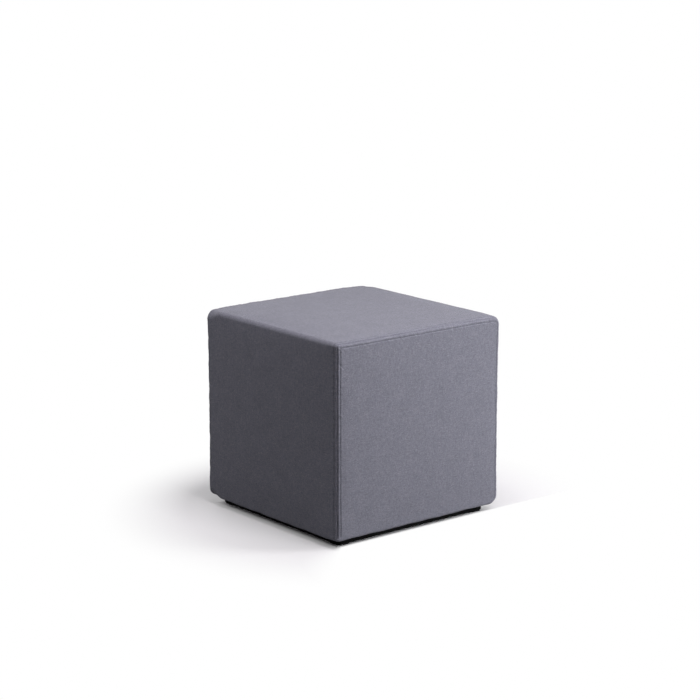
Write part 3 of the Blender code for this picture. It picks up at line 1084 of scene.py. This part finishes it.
base_board = rounded_plate("black_base_board", "base_board", BOARD_CORNER, BOARD_EDGE)
base_board.data.materials.append(black_material("black_board", BLACK_PAINT, 0.60, 0.03, 0.00010))


# ==== The glides
# Four low square glides of moulded black plastic stand under the board's corners, each held by a screw
# or pin from below. Their rims are rounded so that they slide.

BLACK_PLASTIC = (0.011, 0.011, 0.012)
GLIDE_CORNER = 0.008
GLIDE_EDGE = 0.0006

plastic = black_material("black_plastic", BLACK_PLASTIC, 0.38, 0.05, 0.00005)
for corner in ("front_left", "front_right", "back_left", "back_right"):
    glide = rounded_plate("plastic_glide_" + corner, "glide_" + corner, GLIDE_CORNER, GLIDE_EDGE)
    glide.data.materials.append(plastic)


# ==== The studio
# A wide pale floor under plain soft light from broad lamps. Away from the cube, and right in front of
# it, the floor glows up to full white: painted light over its shadows. It also lifts its shadow a little
# just outside the board, and it throws little light back on the cube's dark side.

FLOOR_REACH = 60.0
FLOOR_SHOWN = (0.800, 0.780, 0.800)
FLOOR_GIVEN = 0.20
WHITE_FROM = 0.28             # painted light: the floor glows up to full white between these distances from the middle
WHITE_BEYOND = 0.56
PAINTED_LIFT_SHARE = 0.21             # and this much painted light lifts its shadow from just outside the board on
PALE_FROM = 0.200
PALE_BEYOND = 0.218
FRONT_FROM = 0.200            # and painted full white over the shadow from here on in front of the cube
FRONT_WIDTH = 0.012
FAN_WIDTH = 1.4               # but with a softer painted edge to the left of the corner, fanned out like a shadow's edge
FAN_TURN = 0.35
CAMERA_PLACE = (-2.958, -3.610, 1.421)
CAMERA_TURN = (77.08, 0.0, -39.27)
LENS = 114.67
SENSOR = 36.0
FURTHEST_SEEN = 200.0
AROUND = 0.06                 # the pale light all round
SKY_STRENGTH = 0.75           # and a broad, even light from behind
SKY_FROM = (30, 15)
SKY_WIDTH = 35
LAMP_AIM = 0.25
LAMP_SIZE = 0.80
COOL = (0.982, 1.0, 1.0)
PLAIN = (1.0, 1.0, 1.0)
ROSY = (0.994, 0.975, 1.0)
# Name, compass bearing (0 is from +Y and 90 from +X), height in degrees, distance, watts and colour.
LAMPS = (
    ("key_lamp", 135, 15, 2.4, 46.0, COOL),
    ("front_lamp", 180, 45, 2.4, 13.7, PLAIN),
    ("top_lamp", 180, 75, 2.4, 20.4, ROSY),
    ("side_top_lamp", 225, 75, 2.4, 13.5, ROSY),
    ("back_lamp", 0, 15, 1.3, 3.3, PLAIN),
    ("left_lamp", 300, 28, 1.9, 6.0, PLAIN),
)

made_floor = bpy.data.meshes.new("studio_floor")
floor_corners = [(x * FLOOR_REACH, y * FLOOR_REACH, 0.0) for x, y in ((-1, -1), (1, -1), (1, 1), (-1, 1))]
made_floor.from_pydata(floor_corners, [], [(0, 1, 2, 3)])
floor = add_object("studio_floor", made_floor)


def floor_material():
    material, tree = bare_material("studio_floor")
    seen = put(tree, "ShaderNodeLightPath", {}).outputs["Is Camera Ray"]
    shade = blend(tree, seen, (FLOOR_GIVEN, FLOOR_GIVEN, FLOOR_GIVEN, 1), (*FLOOR_SHOWN, 1))
    matt = put(tree, "ShaderNodeBsdfDiffuse", {"Color": shade})
    place = put(tree, "ShaderNodeTexCoord", {}).outputs["Object"]
    away = put(tree, "ShaderNodeVectorMath", {0: place}, operation="LENGTH").outputs["Value"]
    parts = put(tree, "ShaderNodeSeparateXYZ", {0: place}).outputs
    beside = calculate(tree, "ABSOLUTE", parts["X"])
    ahead = calculate(tree, "ABSOLUTE", parts["Y"])
    outside = calculate(tree, "MAXIMUM", beside, ahead)
    # Painted light: the floor glows white over its shadows, a little from just outside the board on, fully
    # far from the cube and in front of it.
    pale = times(tree, ramp(tree, outside, PALE_FROM, PALE_BEYOND), PAINTED_LIFT_SHARE)
    far = calculate(tree, "MAXIMUM", pale, ramp(tree, away, WHITE_FROM, WHITE_BEYOND))
    left = calculate(tree, "MAXIMUM", scaled(tree, parts["X"], -1.0, -FRONT_FROM), 0.0)
    forward = scaled(tree, parts["Y"], -1.0, -FRONT_FROM)
    reached = scaled(tree, left, FAN_TURN, forward)
    width = scaled(tree, left, FAN_WIDTH, FRONT_WIDTH)
    front = ramp(tree, calculate(tree, "DIVIDE", reached, width), 0.0, 1.0)
    painted_light_share = times(tree, calculate(tree, "MAXIMUM", far, front), seen)
    painted_light = tree.nodes.new("ShaderNodeEmission")
    both = put(tree, "ShaderNodeMixShader", {0: painted_light_share, 1: matt.outputs[0], 2: painted_light.outputs[0]})
    finish = tree.nodes.new("ShaderNodeOutputMaterial")
    tree.links.new(both.outputs[0], finish.inputs["Surface"])
    return material


def from_bearing(bearing, height):
    """Direction towards a light, from its compass bearing and its height in degrees."""
    turn = math.radians(bearing)
    lift = math.radians(height)
    return mathutils.Vector((
        math.sin(turn) * math.cos(lift),
        math.cos(turn) * math.cos(lift),
        math.sin(lift),
    ))


def hang(name, light, towards, distance):
    """Place a light on its bearing, facing the cube."""
    placed = add_object(name, light)
    placed.location = mathutils.Vector((0, 0, LAMP_AIM)) + towards * distance
    placed.rotation_euler = towards.to_track_quat("Z", "Y").to_euler()
    placed.visible_camera = False


floor.data.materials.append(floor_material())
for name, bearing, height, distance, watts, colour in LAMPS:
    lamp = bpy.data.lights.new(name, "AREA")
    lamp.size = LAMP_SIZE
    lamp.energy = watts
    lamp.color = colour
    hang(name, lamp, from_bearing(bearing, height), distance)
sky = bpy.data.lights.new("sky", "SUN")
sky.angle = math.radians(SKY_WIDTH)
sky.energy = SKY_STRENGTH
hang("sky", sky, from_bearing(*SKY_FROM), 2.0)      # its distance doesn't matter

world = bpy.data.worlds.new("studio")
world.use_nodes = True
background = world.node_tree.nodes["Background"].inputs
background["Color"].default_value = (1.0, 1.0, 1.0, 1)
background["Strength"].default_value = AROUND
bpy.context.scene.world = world
bpy.context.scene.view_settings.view_transform = "Standard"

lens = bpy.data.cameras.new("camera")
lens.lens = LENS
lens.sensor_width = SENSOR
lens.clip_end = FURTHEST_SEEN
camera = add_object("camera", lens)
camera.location = CAMERA_PLACE
camera.rotation_euler = [math.radians(angle) for angle in CAMERA_TURN]
bpy.context.scene.camera = camera
